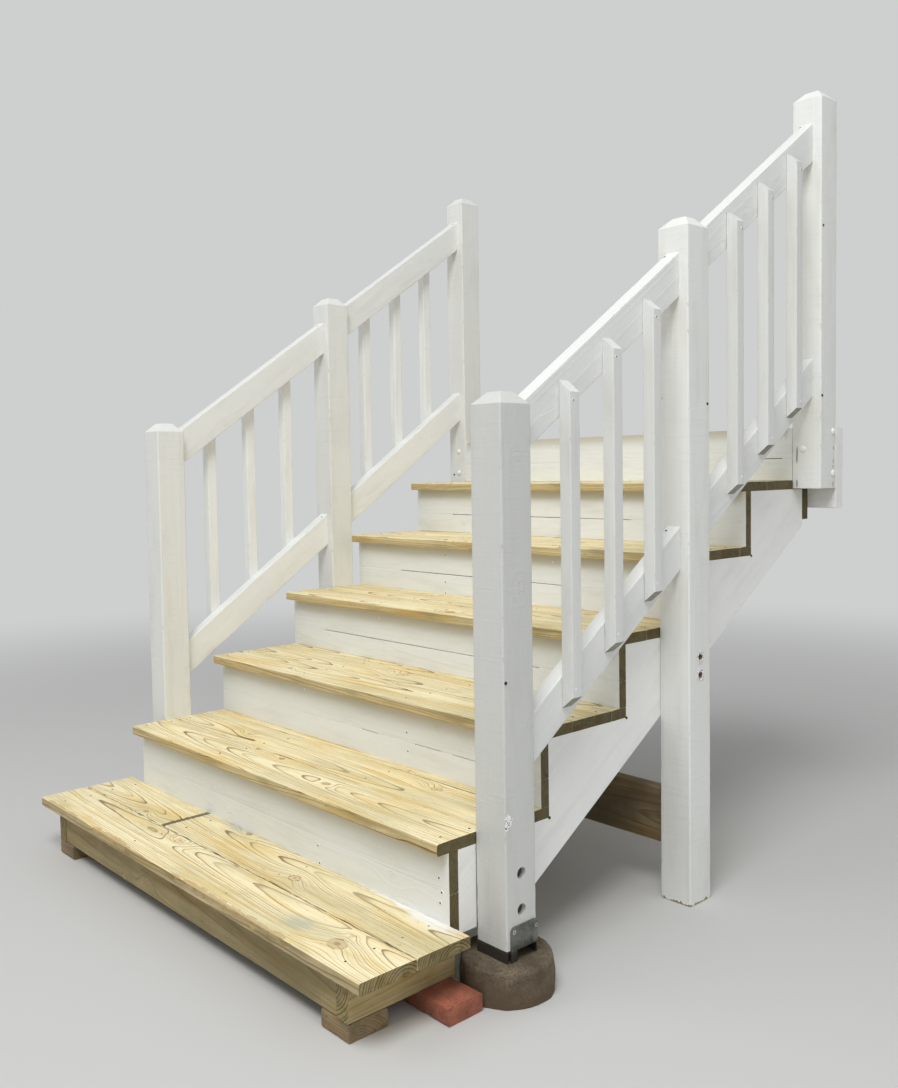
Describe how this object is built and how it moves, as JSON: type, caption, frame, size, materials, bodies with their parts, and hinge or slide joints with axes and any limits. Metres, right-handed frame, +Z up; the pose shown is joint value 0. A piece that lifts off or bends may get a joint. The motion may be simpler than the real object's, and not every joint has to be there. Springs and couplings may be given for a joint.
{
  "type": "exterior wooden stair",
  "caption": "Straight outdoor timber stair with a low box step, bare wood treads, painted risers and a post and baluster rail on each side.",
  "frame": {"origin": "middle of the footprint on the ground", "axes": "+X to the right of someone going up, +Y up the flight, +Z up"},
  "size_m": [1.676, 1.7726, 2.1423],
  "materials": {
    "treated_wood": "sawn treated pine, bare",
    "painted_wood": "brushed off-white paint on wood",
    "galvanised_steel": "weathered galvanised",
    "concrete": "rough cast concrete, soiled",
    "brick": "fired clay"
  },
  "bodies": {
    "root": {"balusters_lower_left": "painted_wood", "balusters_lower_right": "painted_wood", "balusters_upper_left": "painted_wood", "balusters_upper_right": "painted_wood", "box_back_board": "treated_wood", "box_blocks": "treated_wood", "box_front_board": "treated_wood", "box_joists": "treated_wood", "box_pavers": "brick", "box_rims": "treated_wood", "box_sides": "treated_wood", "cross_tie": "treated_wood", "hanger_board": "treated_wood", "packing_board": "treated_wood", "piers": "concrete", "post_bases": "galvanised_steel", "post_front_left": "painted_wood", "post_front_right": "painted_wood", "post_mid_left": "painted_wood", "post_mid_right": "painted_wood", "post_top_left": "painted_wood", "post_top_right": "painted_wood", "rail_bottom_lower_left": "painted_wood", "rail_bottom_lower_right": "painted_wood", "rail_bottom_upper_left": "painted_wood", "rail_bottom_upper_right": "painted_wood", "rail_top_lower_left": "painted_wood", "rail_top_lower_right": "painted_wood", "rail_top_upper_left": "painted_wood", "rail_top_upper_right": "painted_wood", "rim_board": "painted_wood", "riser_1": "painted_wood", "riser_2": "painted_wood", "riser_3": "painted_wood", "riser_4": "painted_wood", "riser_5": "painted_wood", "riser_6": "painted_wood", "stringer_left": "painted_wood", "stringer_right": "painted_wood", "stringers_inner": "treated_wood", "tread_1": "treated_wood", "tread_2": "treated_wood", "tread_3": "treated_wood", "tread_4": "treated_wood", "tread_5": "treated_wood"}
  },
  "joints": []
}
